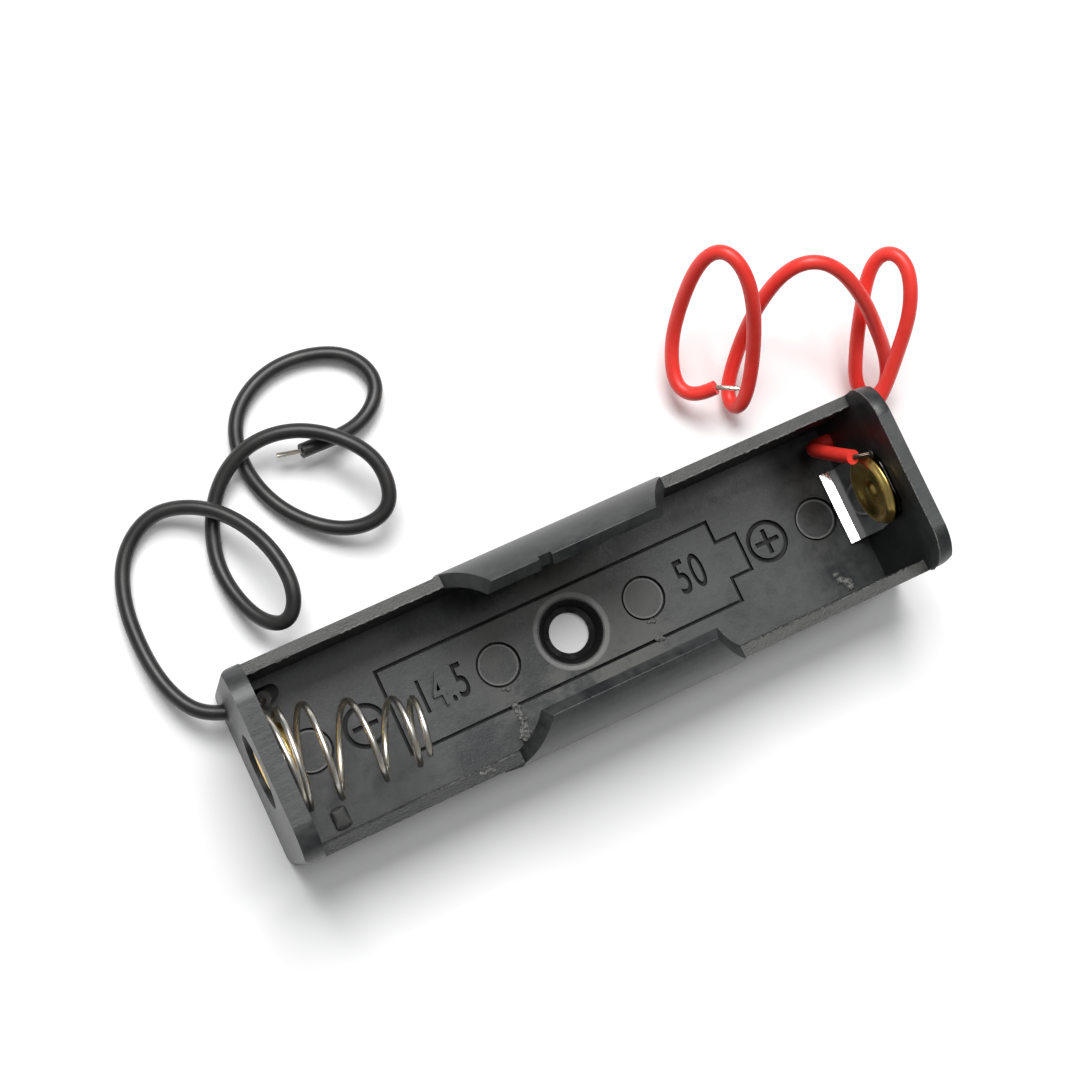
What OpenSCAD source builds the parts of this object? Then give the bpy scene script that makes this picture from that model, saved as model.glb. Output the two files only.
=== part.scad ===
// Holder for one cylindrical cell: a moulded tray with gripping wings, a conical
// spring and a dished rivet as contacts, and two soldered leads.
// Origin: on the underside, at the axis of the screw hole. +X points to the
// positive end, +Z points out of the open bay.

/* [Tray] */
// Length over both end plates, at the underside
tray_l = 60; // [58:0.5:64]
// Clear width between the side walls
bay_w = 14.6; // [14.2:0.1:16]
// Thickness of each side wall
side_t = 1.0; // [0.8:0.1:1.6]
// Height of the side walls
side_h = 10.6; // [9:0.1:12]
// Thickness of the floor
floor_t = 1.5; // [1.3:0.1:2.2]
// Thickness of the end plate that carries the spring
minus_plate_t = 2.0; // [1.6:0.1:2.6]
// Thickness of the end plate that carries the dished rivet
plus_plate_t = 1.6; // [1.4:0.1:2.6]
// Height of the end plates
plate_h = 15; // [14:0.1:17]
// Radius of the end plates' top corners
plate_corner_r = 3.2; // [1.5:0.1:4]
// Lean of each end plate's outer face, from the underside to the top
plate_draft = 0.35; // [0.1:0.05:0.8]
// Radius of the tray's upright corners
upright_r = 1.2; // [0.4:0.1:1.8]
// Radius along the tray's long bottom edges
bottom_r = 0.6; // [0.3:0.1:1]

/* [Wings] */
// Diameter of the cell that the wings hold
cell_d = 14.5; // [14:0.1:14.6]
// Gap between the cell and each wing
wing_gap = 0.15; // [0.05:0.05:0.4]
// Thickness of each wing
wing_t = 1.2; // [0.9:0.1:1.6]
// Length of each wing where it leaves the side wall
wing_root_l = 20.6; // [16:0.2:30]
// Length of each wing along its tip
wing_tip_l = 15; // [8:0.2:15.8]
// How far each wing wraps over the cell, from the cell's middle, in degrees
wing_wrap = 47; // [35:1:58]
// Place of the nick in the rear wing's tip, along the tray
nick_x = -2.6; // [-6:0.2:6]
// Length of that nick
nick_l = 1.1; // [0.4:0.1:3]
// Depth of that nick
nick_depth = 0.35; // [0.1:0.05:0.6]

/* [Floor] */
// Diameter of the screw hole
screw_d = 3.6; // [3:0.1:4.2]
// Diameter of the seat for the screw's head
screw_head_d = 6; // [5:0.1:7]
// Depth of the seat for the screw's head
screw_head_depth = 1.1; // [0.6:0.1:1.2]
// Width of the bevel round the screw's seat
screw_bevel = 0.4; // [0.1:0.1:0.8]
// Diameter of the round ejector marks
mark_d = 3.8; // [2.5:0.1:4.5]
// Depth of the ejector marks
mark_depth = 0.15; // [0.05:0.05:0.4]
// Distance of the inner ejector marks from the screw hole
mark_inner_x = 7.1; // [6.5:0.1:9]
// Distance of the outer ejector marks from the screw hole
mark_outer_x = 24.7; // [18:0.1:25]

/* [Contacts] */
// Height of both contacts above the underside
contact_z = 9.0; // [8.6:0.1:9.6]
// Diameter of the rivets' dished heads
rivet_head_d = 6.5; // [5:0.1:6.8]
// Diameter of the heads where they bear
rivet_seat_d = 3.8; // [3.2:0.1:4.4]
// Height of the rivets' heads
rivet_head_t = 0.9; // [0.7:0.1:1.4]
// Diameter of the rivets' shanks
rivet_shank_d = 2.4; // [1.8:0.1:3]
// Diameter of the clinched tails
rivet_tail_d = 3.8; // [3.2:0.1:4.6]
// Diameter of the pocket that each clinched tail sits in
pocket_d = 6.4; // [5:0.1:8]
// Depth of that pocket, at mid height
pocket_depth = 0.75; // [0.4:0.05:0.9]
// Width of the solder lug
lug_w = 6.8; // [6:0.1:7.4]
// Thickness of the solder lug
lug_t = 0.3; // [0.2:0.05:0.4]
// Length of the lug's foot
lug_foot_l = 1.2; // [0.8:0.1:2]
// How far the lug stands off its end plate at the foot
lug_lean = 0.6; // [0.2:0.1:1]

/* [Spring] */
// Thickness of the spring's wire
spring_wire = 0.5; // [0.4:0.05:0.6]
// Mean diameter of the spring's base
spring_base_d = 8.4; // [7.4:0.1:9]
// Mean diameter of the spring's tip
spring_tip_d = 5.3; // [4.5:0.1:6.5]
// Distance between the free spring's first and last open turn
spring_rise = 10.4; // [8:0.2:11]
// Number of the spring's open turns
spring_turns = 4; // [3:0.25:4.5]
// Sideways lean of the free spring, in degrees
spring_lean = 12; // [0:1:14]

/* [Leads] */
// Diameter of the leads over their insulation
lead_d = 1.3; // [1:0.1:1.4]
// Diameter of the tinned strands
strand_d = 0.6; // [0.4:0.1:0.8]
// Distance of the lead holes from the tray's middle plane
lead_y = 5.8; // [5.6:0.1:6]
// Height of the lead holes
lead_z = 3.2; // [3:0.1:3.6]
// Gap between each lead and its hole
lead_gap = 0.15; // [0.1:0.05:0.2]

/* [Hidden] */
$fn = 64;
slack = 1;                                   // how far a cutter runs past the faces it cuts
half_l = tray_l / 2;
tray_w = bay_w + 2 * side_t;
minus_face = -half_l + minus_plate_t;        // inner face of the plate that carries the spring
plus_face = half_l - plus_plate_t;           // inner face of the plate that carries the rivet
wing_in_r = cell_d / 2 + wing_gap;
wing_out_r = wing_in_r + wing_t;
cell_z = floor_t + cell_d / 2;               // axis of a seated cell
lug_hole_d = rivet_shank_d + 0.1;
lug_top = contact_z + rivet_head_d / 2;
lug_knee = contact_z - rivet_head_d / 2 + 0.3;
lug_bottom = floor_t + 0.1;
lug_corner_r = 2.2;
clamp_gap = 0.02;                            // play of a clamped part under its rivet's head
coil_steps = 20;                             // rings to each turn of the spring
cord_sides = 8;
red_rings = 44;
black_rings = 40;
tail_t = 0.45;                               // height of a rivet's rolled tail
bead_r = 0.55;                               // radius of the solder bead on the spring
lug_bead_r = 0.42;                           // radius and height of the solder bead on the lug
joint_angle = 42;                            // direction of that bead, seen from the rivet's middle

// Routes of the two leads, from the soldered end to the bare tip
red_route = [[26.5, 3.15, 11], [26.2, 3.9, 9.2], [26, 4.7, 7.1], [26, 5.5, 5], [27, 5.8, 3.4],
    [28.5, 5.8, 3.2], [31, 5.8, 3.1], [34, 7.2, 4.2], [36.1, 9.9, 6.8], [37.9, 13, 9.8],
    [38.8, 16.4, 11.2], [38.1, 18.4, 10.6], [36.7, 17.8, 8.6], [34.7, 14, 5.9], [34, 11.6, 3.7],
    [33.6, 9.3, 1.9], [34.7, 7.7, 1.1], [36.3, 8.3, 2], [36.4, 10.6, 4.3], [35.5, 12.9, 7],
    [34.3, 15.4, 9.8], [32.4, 18.2, 12.2], [30.2, 19.8, 12.9], [28.1, 20, 11.4], [26.3, 19, 8.2],
    [24.8, 17.3, 4.6], [22.9, 14.7, 2.1], [22.1, 13.2, 1.5], [22, 11.6, 2.2], [22.9, 12.4, 3.9],
    [24, 15.2, 7], [24.4, 18.6, 10.9], [24.1, 21.6, 13.1], [23.1, 23.8, 12.9], [21.4, 23.5, 10.3],
    [19.6, 21, 5.6], [18.5, 18.5, 3.2], [17.9, 15.7, 2.4], [18.8, 14.3, 3.1], [20.5, 14.1, 4.4]];
red_tip = [22.2, 13.1, 5.1];
black_route = [[-27, 5.2, 8], [-26.4, 5.4, 6.6], [-26, 5.7, 5], [-27, 5.8, 3.4], [-28.5, 5.8, 3.2],
    [-30, 5.8, 3.2], [-32.1, 7, 2.7], [-33.5, 10.1, 2], [-33.9, 14.1, 1.3], [-33.5, 18.1, 0.9],
    [-31.9, 21.6, 0.9], [-28.6, 23.6, 1.6], [-24.9, 22.5, 2.6], [-22.3, 19.7, 3.6], [-20.9, 16, 4.6],
    [-20.8, 12.4, 4.8], [-22.3, 10.3, 3.9], [-24.3, 12.1, 2.5], [-25.3, 16.4, 1.2], [-24.6, 20.2, 0.9],
    [-22.5, 23.7, 1.6], [-19.1, 25.6, 2.8], [-15.3, 25.3, 3.7], [-12, 23.2, 4.2], [-9.7, 19.9, 4.3],
    [-10.2, 16, 3.5], [-13.5, 15.6, 2.3], [-16.8, 17.8, 1.4], [-19, 21.1, 0.9], [-19.8, 25, 0.9],
    [-18.6, 28.8, 0.9], [-15.2, 31.1, 0.9], [-11.2, 31.4, 0.9], [-7.5, 29.9, 1.1], [-6.3, 26.6, 1.2],
    [-9.3, 23.9, 1.4], [-15, 23.5, 2.5]];
black_tip = [-17, 24, 2.2];

// ---- vectors, curves and swept tubes ----

function unit(v) = v / norm(v);

// Direction of a row of points at point i
function heading(p, i) = unit(p[min(i + 1, len(p) - 1)] - p[max(i - 1, 0)]);

// A direction across t that stays as near as it can to the last one
function across(last, t) = unit(last - (last * t) * t);

// Tube of radius r along the points p
module tube(p, r, sides) {
    n = len(p);
    t = [for (i = [0:n - 1]) heading(p, i)];
    first = across(abs(t[0].z) > 0.9 ? [1, 0, 0] : [0, 0, 1], t[0]);
    u = [for (i = 0, d = first; i < n; i = i + 1, d = i < n ? across(d, t[i]) : d) d];
    rings = [for (i = [0:n - 1]) for (k = [0:sides - 1])
        p[i] + r * (cos(360 * k / sides) * u[i] + sin(360 * k / sides) * cross(t[i], u[i]))];
    walls = [for (i = [0:n - 2]) for (k = [0:sides - 1])
        [i * sides + k, (i + 1) * sides + k, (i + 1) * sides + (k + 1) % sides, i * sides + (k + 1) % sides]];
    start = [[for (k = [0:sides - 1]) k]];
    end = [[for (k = [0:sides - 1]) n * sides - 1 - k]];
    polyhedron(points = rings, faces = concat(start, walls, end), convexity = 10);
}

// Point of the smooth curve through the points p, at s from 0 to len(p) - 1
function on_curve(p, s) =
    let (i = min(floor(s), len(p) - 2), t = s - i, b = p[i], c = p[i + 1],
         a = i > 0 ? p[i - 1] : 2 * b - c,
         d = i + 2 < len(p) ? p[i + 2] : 2 * c - b)
    0.5 * (2 * b + (c - a) * t + (2 * a - 5 * b + 4 * c - d) * t * t + (3 * b - a - 3 * c + d) * t * t * t);

function smooth(p, count) = [for (i = [0:count - 1]) on_curve(p, i * (len(p) - 1) / (count - 1))];

// ---- tray ----

// Shape across the length: square feet, slightly rounded below, round corners above
module end_profile() {
    hull() {
        for (s = [-1, 1]) {
            translate([s * (tray_w / 2 - plate_corner_r), plate_h - plate_corner_r])
                circle(plate_corner_r);
            translate([s * (tray_w / 2 - bottom_r), bottom_r])
                circle(bottom_r);
        }
    }
}

module envelope() {
    intersection() {
        translate([-half_l - slack, 0, 0])
            rotate([90, 0, 90])
                linear_extrude(tray_l + 2 * slack)
                    end_profile();
        rotate([90, 0, 0])
            translate([0, 0, -tray_w / 2 - slack])
                linear_extrude(tray_w + 2 * slack)
                    polygon([[-half_l, 0], [half_l, 0],
                             [half_l - plate_draft, plate_h], [-half_l + plate_draft, plate_h]]);
        translate([0, 0, -slack])
            linear_extrude(plate_h + 2 * slack)
                offset(upright_r)
                    square([tray_l - 2 * upright_r, tray_w - 2 * upright_r], center = true);
    }
}

// One wing: a band round the cell's axis, cut to a trapezoid seen from the side
module wing() {
    intersection() {
        translate([-wing_root_l / 2, 0, 0])
            rotate([90, 0, 90])
                linear_extrude(wing_root_l)
                    intersection() {
                        translate([0, cell_z])
                            difference() {
                                circle(wing_out_r);
                                circle(wing_in_r);
                            }
                        polygon([[0, cell_z], [2 * wing_out_r, cell_z],
                                 [2 * wing_out_r, cell_z + 2 * wing_out_r * tan(wing_wrap)]]);
                    }
        rotate([90, 0, 0])
            translate([0, 0, -tray_w])
                linear_extrude(tray_w)
                    polygon([[-wing_root_l / 2, 0], [wing_root_l / 2, 0], [wing_root_l / 2, side_h],
                             [wing_tip_l / 2, plate_h], [-wing_tip_l / 2, plate_h], [-wing_root_l / 2, side_h]]);
    }
}

// Thickening of the side wall below a wing, down to the underside
module wing_root() {
    translate([-wing_root_l / 2, tray_w / 2 - side_t, bottom_r])
        cube([wing_root_l, side_t + wing_out_r - tray_w / 2, cell_z - bottom_r]);
}

// Notch in the tip of the rear wing
module nick() {
    translate([nick_x, 0, cell_z])
        rotate([wing_wrap, 0, 0])
            translate([-nick_l / 2, wing_in_r - slack, -nick_depth])
                cube([nick_l, wing_t + 2 * slack, nick_depth + slack]);
}

module screw_hole() {
    translate([0, 0, -slack])
        cylinder(d = screw_d, h = floor_t + 2 * slack);
    translate([0, 0, floor_t - screw_head_depth])
        cylinder(d1 = screw_d + 1, d2 = screw_head_d, h = screw_head_depth);
    translate([0, 0, floor_t - screw_bevel / 2])
        cylinder(d1 = screw_head_d, d2 = screw_head_d + 4 * screw_bevel, h = screw_bevel);
}

module tray() {
    color([0.13, 0.14, 0.14])
    difference() {
        union() {
            difference() {
                envelope();
                // the bay
                translate([minus_face, -bay_w / 2, floor_t])
                    cube([plus_face - minus_face, bay_w, plate_h]);
                // side walls end below the end plates' tops
                translate([minus_face, -tray_w / 2 - slack, side_h])
                    cube([plus_face - minus_face, tray_w + 2 * slack, plate_h]);
            }
            for (s = [0, 1])
                mirror([0, s, 0]) {
                    wing();
                    wing_root();
                }
        }
        nick();
        screw_hole();
        for (s = [-1, 1])
            for (x = [mark_inner_x, mark_outer_x])
                translate([s * x, 0, floor_t - mark_depth])
                    cylinder(d = mark_d, h = mark_depth + slack);
        // rivet holes, the pockets for their tails, and the lead holes
        for (s = [-1, 1]) {
            translate([s * (half_l - tray_l / 4), 0, contact_z])
                rotate([0, s * 90, 0])
                    cylinder(d = rivet_shank_d, h = tray_l / 2);
            translate([s * (half_l - plate_draft / 2 - pocket_depth), 0, contact_z])
                rotate([0, s * 90, 0])
                    cylinder(d = pocket_d, h = pocket_depth + slack);
            translate([s * (half_l - tray_l / 4), lead_y, lead_z])
                rotate([0, s * 90, 0])
                    cylinder(d = lead_d + 2 * lead_gap, h = tray_l / 2);
        }
    }
}

// ---- contacts; each is drawn on the plane X = 0 with the bay toward +X ----

// Rivet with a dished head; seat is the head's underside, hold what it clamps together
module rivet(seat, hold) {
    rim = 0.2;
    dish = 0.45;
    head_r = rivet_head_d / 2;
    foot = seat - hold;
    rotate([0, 90, 0])
        rotate_extrude() {
            translate([0, foot])
                square([rivet_shank_d / 2, hold + dish]);
            // the flared dish
            translate([0, seat])
                polygon([[0, 0], [rivet_seat_d / 2, 0], [head_r, dish], [head_r, rivet_head_t - rim],
                         [head_r - 2 * rim, rivet_head_t - rim], [rivet_seat_d / 2 - rim, dish], [0, dish]]);
            translate([head_r - rim, seat + rivet_head_t - rim])
                circle(rim);
            // raised middle of the dish
            translate([0, seat + dish - rim])
                square([rivet_seat_d / 3, 1.6 * rim]);
            // the rolled tail
            translate([0, foot - tail_t])
                square([rivet_tail_d / 2 - tail_t / 2, tail_t]);
            translate([rivet_tail_d / 2 - tail_t / 2, foot - tail_t / 2])
                circle(tail_t / 2);
        }
}

// Length that a rivet clamps, from the floor of its pocket: the plate and what is packed on it
function clamped(plate, packing) = plate - plate_draft / 2 - pocket_depth + packing;

module positive_rivet() {
    color([0.80, 0.62, 0.25])
    translate([plus_face, 0, contact_z])
        mirror([1, 0, 0])
            rivet(lug_t + clamp_gap, clamped(plus_plate_t, lug_t + clamp_gap));
}

module negative_rivet() {
    color([0.80, 0.62, 0.25])
    translate([minus_face, 0, contact_z])
        rivet(spring_wire + clamp_gap, clamped(minus_plate_t, spring_wire + clamp_gap));
}

// Solder lug: a strip on the end plate, bent off it below the rivet, with a short foot
module solder_lug() {
    color([0.85, 0.86, 0.88])
    translate([plus_face, 0, 0])
        mirror([1, 0, 0])
            difference() {
                intersection() {
                    rotate([90, 0, 0])
                        translate([0, 0, -lug_w / 2])
                            linear_extrude(lug_w)
                                polygon([[0, lug_top], [0, lug_knee], [lug_lean, lug_bottom],
                                         [lug_lean + lug_foot_l, lug_bottom],
                                         [lug_lean + lug_foot_l, lug_bottom + lug_t],
                                         [lug_lean + lug_t, lug_bottom + lug_t],
                                         [lug_t, lug_knee], [lug_t, lug_top]]);
                    rotate([90, 0, 90])
                        linear_extrude(lug_lean + lug_foot_l)
                            lug_outline();
                }
                translate([-slack, 0, contact_z])
                    rotate([0, 90, 0])
                        cylinder(d = lug_hole_d, h = 2 * slack + lug_t);
            }
}

// The lug's outline on the end plate, with round top corners
module lug_outline() {
    straight = lug_top - lug_corner_r;
    translate([-lug_w / 2, 0])
        square([lug_w, straight]);
    translate([-lug_w / 2 + lug_corner_r, 0])
        square([lug_w - 2 * lug_corner_r, lug_top]);
    for (s = [-1, 1])
        translate([s * (lug_w / 2 - lug_corner_r), straight])
            circle(lug_corner_r);
}

// ---- spring ----

base_x = minus_face + spring_wire / 2;
hook_r = rivet_shank_d / 2 + spring_wire / 2 + 0.05;

// The wire's turns: an inward hook under the rivet, a close turn, the open turns and a close end.
// The open turns start and end close, and are widest apart midway.
flat_turns = 1;
end_turns = 0.4;
close_pitch = spring_wire + 0.25;
all_turns = flat_turns + spring_turns + end_turns;

function ease(t) = let (c = max(0, min(t, 1))) c * c * (3 - 2 * c);
function rise(n) = close_pitch * min(n, flat_turns) + spring_rise * ease((n - flat_turns) / spring_turns)
    + close_pitch * max(0, n - flat_turns - spring_turns);
// The cone starts half a turn after the rise
function coil_r(n) = let (cone = ease((n - flat_turns - 0.5) / (spring_turns - 0.5)))
    (spring_base_d + (spring_tip_d - spring_base_d) * cone) / 2;
function hook_point(n) = let (a = 360 * n, r = hook_r + (spring_base_d / 2 - hook_r) * (n + 1))
    [base_x, r * cos(a), contact_z + r * sin(a)];
function coil_point(n) = let (a = 360 * n, r = coil_r(n), x = rise(n), y = r * cos(a))
    [base_x + x * cos(spring_lean) + y * sin(spring_lean) * min(n / 2, 1),
     y * cos(spring_lean * min(n / 2, 1)) - x * sin(spring_lean),
     contact_z + r * sin(a)];

module spring() {
    hook = [for (i = [0:coil_steps - 1]) hook_point(i / coil_steps - 1)];
    coil = [for (i = [0:ceil(all_turns * coil_steps)]) coil_point(i / coil_steps)];
    color([0.82, 0.81, 0.76])
        tube(concat(hook, coil), spring_wire / 2, cord_sides);
}

// ---- leads ----

red_path = smooth(red_route, red_rings);
black_path = smooth(black_route, black_rings);

module red_lead() {
    color([0.90, 0.12, 0.12])
        tube(red_path, lead_d / 2, cord_sides);
}

module black_lead() {
    color([0.10, 0.10, 0.11])
        tube(black_path, lead_d / 2, cord_sides);
}

// The beads' places: on the lug beside the rivet's head, and on the outside of the spring's first turn
joint_reach = rivet_head_d / 2 + lug_bead_r + clamp_gap;
red_joint = [plus_face - lug_t, joint_reach * cos(joint_angle), contact_z + joint_reach * sin(joint_angle)];
black_joint = [base_x, (spring_base_d + spring_wire + bead_r) / 2, contact_z];

// Bare strands: they leave the cut end of the insulation squarely, then bend to where they go
module strands(end, out, goal) {
    tube([end + clamp_gap * out, end + strand_d / 2 * out, goal], strand_d / 2, cord_sides);
}

module soldered_end(joint, r, path) {
    edge = joint + (r + clamp_gap) * unit(path[0] - joint);
    strands(path[0], -heading(path, 0), edge);
}

module bare_tip(path, tip) {
    last = len(path) - 1;
    strands(path[last], heading(path, last), tip);
}

module red_strands() {
    color([0.78, 0.76, 0.72]) {
        soldered_end(red_joint, lug_bead_r, red_path);
        bare_tip(red_path, red_tip);
    }
}

module black_strands() {
    color([0.78, 0.76, 0.72]) {
        soldered_end(black_joint, bead_r, black_path);
        bare_tip(black_path, black_tip);
    }
}

// ---- solder ----

// Low dome on the lug
module positive_solder() {
    r = lug_bead_r;
    color([0.75, 0.76, 0.78])
    translate(red_joint)
        rotate([0, -90, 0])
            rotate_extrude()
                polygon([[0, 0], [r, 0], [0.92 * r, 0.4 * r], [0.7 * r, 0.75 * r], [0.35 * r, 0.95 * r], [0, r]]);
}

// Bead on the outer side of the spring's first turn
module negative_solder() {
    color([0.75, 0.76, 0.78])
    intersection() {
        translate(black_joint)
            sphere(bead_r);
        translate([minus_face, (spring_base_d + spring_wire) / 2, 0])
            cube([2 * bead_r, tray_w, plate_h]);
    }
}

tray();
positive_rivet();
solder_lug();
positive_solder();
red_lead();
red_strands();
negative_rivet();
spring();
negative_solder();
black_lead();
black_strands();
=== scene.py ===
# %% [markdown]
# # Holder for one cylindrical cell
#
# A moulded black tray grips the cell with two wings. A conical wire spring and a dished
# brass rivet touch its ends, and two thin leads are soldered to them. The model of the
# construction is loaded first as a fixed frame: every piece below is made in its
# coordinates, in metres, with +X towards the positive end and +Z out of the open bay.

# %% Load the frame
import math
import random

import bmesh
import bpy
from mathutils import Matrix, Vector


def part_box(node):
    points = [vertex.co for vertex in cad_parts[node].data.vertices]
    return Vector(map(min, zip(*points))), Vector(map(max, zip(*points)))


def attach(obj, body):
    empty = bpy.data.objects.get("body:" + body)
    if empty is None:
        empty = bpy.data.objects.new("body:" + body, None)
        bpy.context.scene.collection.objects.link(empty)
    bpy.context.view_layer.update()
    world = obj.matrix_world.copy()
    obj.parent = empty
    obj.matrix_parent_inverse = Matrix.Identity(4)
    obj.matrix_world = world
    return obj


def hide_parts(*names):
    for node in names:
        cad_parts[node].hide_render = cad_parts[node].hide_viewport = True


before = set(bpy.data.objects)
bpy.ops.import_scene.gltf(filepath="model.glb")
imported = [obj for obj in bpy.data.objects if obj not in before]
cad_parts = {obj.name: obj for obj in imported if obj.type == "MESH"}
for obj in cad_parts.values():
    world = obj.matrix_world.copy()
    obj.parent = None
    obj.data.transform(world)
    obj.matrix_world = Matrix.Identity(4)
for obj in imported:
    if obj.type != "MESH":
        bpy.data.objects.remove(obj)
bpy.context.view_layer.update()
MM = 0.001
scene = bpy.context.scene


def mm(*numbers):
    """A point or a size given in millimetres."""
    return Vector(numbers) * MM


print("nodes:", ", ".join(sorted(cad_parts)))

# %% [markdown]
# ## Camera
#
# The holder is seen from high above its negative end and turned in the picture, so that
# the tray runs up to the right. A camera is placed by its three axes: where it looks,
# and two directions across, which are rolled about the view.

# %% Camera
CAMERA_AT = mm(-40.425, -5.148, 169.108)
LOOKS_AT = mm(1.258, 8.461, 0)
ROLL = math.radians(25.131)

ahead = (LOOKS_AT - CAMERA_AT).normalized()
level_right = ahead.cross(Vector((0, 1, 0))).normalized()
level_up = level_right.cross(ahead)
right = math.cos(ROLL) * level_right - math.sin(ROLL) * level_up
up = math.sin(ROLL) * level_right + math.cos(ROLL) * level_up

camera = bpy.data.objects.new("camera", bpy.data.cameras.new("camera"))
camera.data.lens = 66.39
camera.data.sensor_width = 36
camera.data.clip_start = 0.005
camera.data.clip_end = 20
camera.matrix_world = Matrix.Translation(CAMERA_AT) @ Matrix((right, up, -ahead)).transposed().to_4x4()
scene.collection.objects.link(camera)
scene.camera = camera
print("camera is", round((LOOKS_AT - CAMERA_AT).length / MM), "mm from the holder")

# %% [markdown]
# ## Leads
#
# Each lead is a stranded copper wire in thin plastic. It starts at its solder joint in
# the bay, leaves through a hole low in the end plate, and lies in loose springy curls.
# A curve with a round bevel fits a cord best, because its own line is the measured
# length. The few points of each route are joined by a smooth curve that passes through
# all of them. Outside the end plate its corners are then eased, as stiff wire eases them.

# %% Points of the routes, in millimetres
RED_ROUTE = [(26.5, 3.15, 11), (26.2, 3.9, 9.2), (26, 4.7, 7.1), (26, 5.5, 5), (27, 5.8, 3.4),
             (28.5, 5.8, 3.2), (31, 5.8, 3.1), (34, 7.2, 4.2), (36.1, 9.9, 6.8), (37.9, 13, 9.8),
             (38.8, 16.4, 11.2), (38.1, 18.4, 10.6), (36.7, 17.8, 8.6), (34.7, 14, 5.9), (34, 11.6, 3.7),
             (33.6, 9.3, 1.9), (34.7, 7.7, 1.1), (36.3, 8.3, 2), (36.4, 10.6, 4.3), (35.5, 12.9, 7),
             (34.3, 15.4, 9.8), (32.4, 18.2, 12.2), (30.2, 19.8, 12.9), (28.1, 20, 11.4), (26.3, 19, 8.2),
             (24.8, 17.3, 4.6), (22.9, 14.7, 2.1), (22.1, 13.2, 1.5), (22, 11.6, 2.2), (22.9, 12.4, 3.9),
             (24, 15.2, 7), (24.4, 18.6, 10.9), (24.1, 21.6, 13.1), (23.1, 23.8, 12.9),
             (21.4, 23.5, 10.3), (19.6, 21, 5.6), (18.5, 18.5, 3.2), (17.9, 15.7, 2.4), (18.8, 14.3, 3.1),
             (20.5, 14.1, 4.4)]
BLACK_ROUTE = [(-27, 5.2, 8), (-26.4, 5.4, 6.6), (-26, 5.7, 5), (-27, 5.8, 3.4), (-28.5, 5.8, 3.2),
               (-30, 5.8, 3.2), (-32.1, 7, 2.7), (-33.5, 10.1, 2), (-33.9, 14.1, 1.3), (-33.5, 18.1, 0.9),
               (-31.9, 21.6, 0.9), (-28.6, 23.6, 1.6), (-24.9, 22.5, 2.6), (-22.3, 19.7, 3.6),
               (-20.9, 16, 4.6), (-20.8, 12.4, 4.8), (-22.3, 10.3, 3.9), (-24.3, 12.1, 2.5),
               (-25.3, 16.4, 1.2), (-24.6, 20.2, 0.9), (-22.5, 23.7, 1.6), (-19.1, 25.6, 2.8),
               (-15.3, 25.3, 3.7), (-12, 23.2, 4.2), (-9.7, 19.9, 4.3), (-10.2, 16, 3.5),
               (-13.5, 15.6, 2.3), (-16.8, 17.8, 1.4), (-19, 21.1, 0.9), (-19.8, 25, 0.9),
               (-18.6, 28.8, 0.9), (-15.2, 31.1, 0.9), (-11.2, 31.4, 0.9), (-7.5, 29.9, 1.1),
               (-6.3, 26.6, 1.2), (-9.3, 23.9, 1.4), (-15, 23.5, 2.5)]
RED_TIP = (22.2, 13.1, 5.1)
BLACK_TIP = (-17, 24, 2.2)
LEAD_R = 0.65 * MM
STEPS_TO_A_STRETCH = 10
RED_KEPT = 6 * STEPS_TO_A_STRETCH
BLACK_KEPT = 5 * STEPS_TO_A_STRETCH
EASING_STEP = 0.3 * MM
EASING_PASSES = 24
print("points of the routes:", len(RED_ROUTE), "red and", len(BLACK_ROUTE), "black")


# %% A smooth curve through a row of points
def length_of(line):
    return sum((b - a).length for a, b in zip(line, line[1:]))


def smooth_line(points, steps):
    """Points along a curve that passes through the given ones, steps to each stretch."""
    ends = [2 * points[0] - points[1], *points, 2 * points[-1] - points[-2]]
    line = []
    for a, b, c, d in zip(ends, ends[1:], ends[2:], ends[3:]):
        for i in range(steps):
            t = i / steps
            line.append(0.5 * (2 * b + (c - a) * t + (2 * a - 5 * b + 4 * c - d) * t**2
                               + (3 * b - a - 3 * c + d) * t**3))
    return [*line, points[-1]]


def evenly(line, step):
    """Points at nearly equal steps along the line, from its first point to its last."""
    steps = round(length_of(line) / step)
    step = length_of(line) / steps
    points, run = [line[0]], 0
    for a, b in zip(line, line[1:]):
        stretch = (b - a).length
        while run + stretch >= step * len(points) and len(points) < steps:
            points.append(a.lerp(b, (step * len(points) - run) / stretch))
        run += stretch
    return [*points, line[-1]]


def relaxed(line, kept):
    """The line with its corners eased, apart from its first kept points."""
    line = [*line[:kept], *evenly(line[kept - 1:], EASING_STEP)[1:]]
    for _ in range(EASING_PASSES):
        eased = [(a + 2 * b + c) / 4 for a, b, c in zip(line, line[1:], line[2:])]
        line = [*line[:kept], *eased[kept - 1:], line[-1]]
    return line


def round_curve(name, line, radius, sides=5):
    """A curve object along the line, with a round section and closed ends."""
    data = bpy.data.curves.new(name, "CURVE")
    data.dimensions = "3D"
    data.twist_mode = "MINIMUM"
    data.bevel_depth = radius
    data.bevel_resolution = sides
    data.use_fill_caps = True
    spline = data.splines.new("POLY")
    spline.points.add(len(line) - 1)
    for point, place in zip(spline.points, line):
        point.co = (*place, 1)
    spline.use_smooth = True
    piece = bpy.data.objects.new(name, data)
    scene.collection.objects.link(piece)
    return piece


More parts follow.
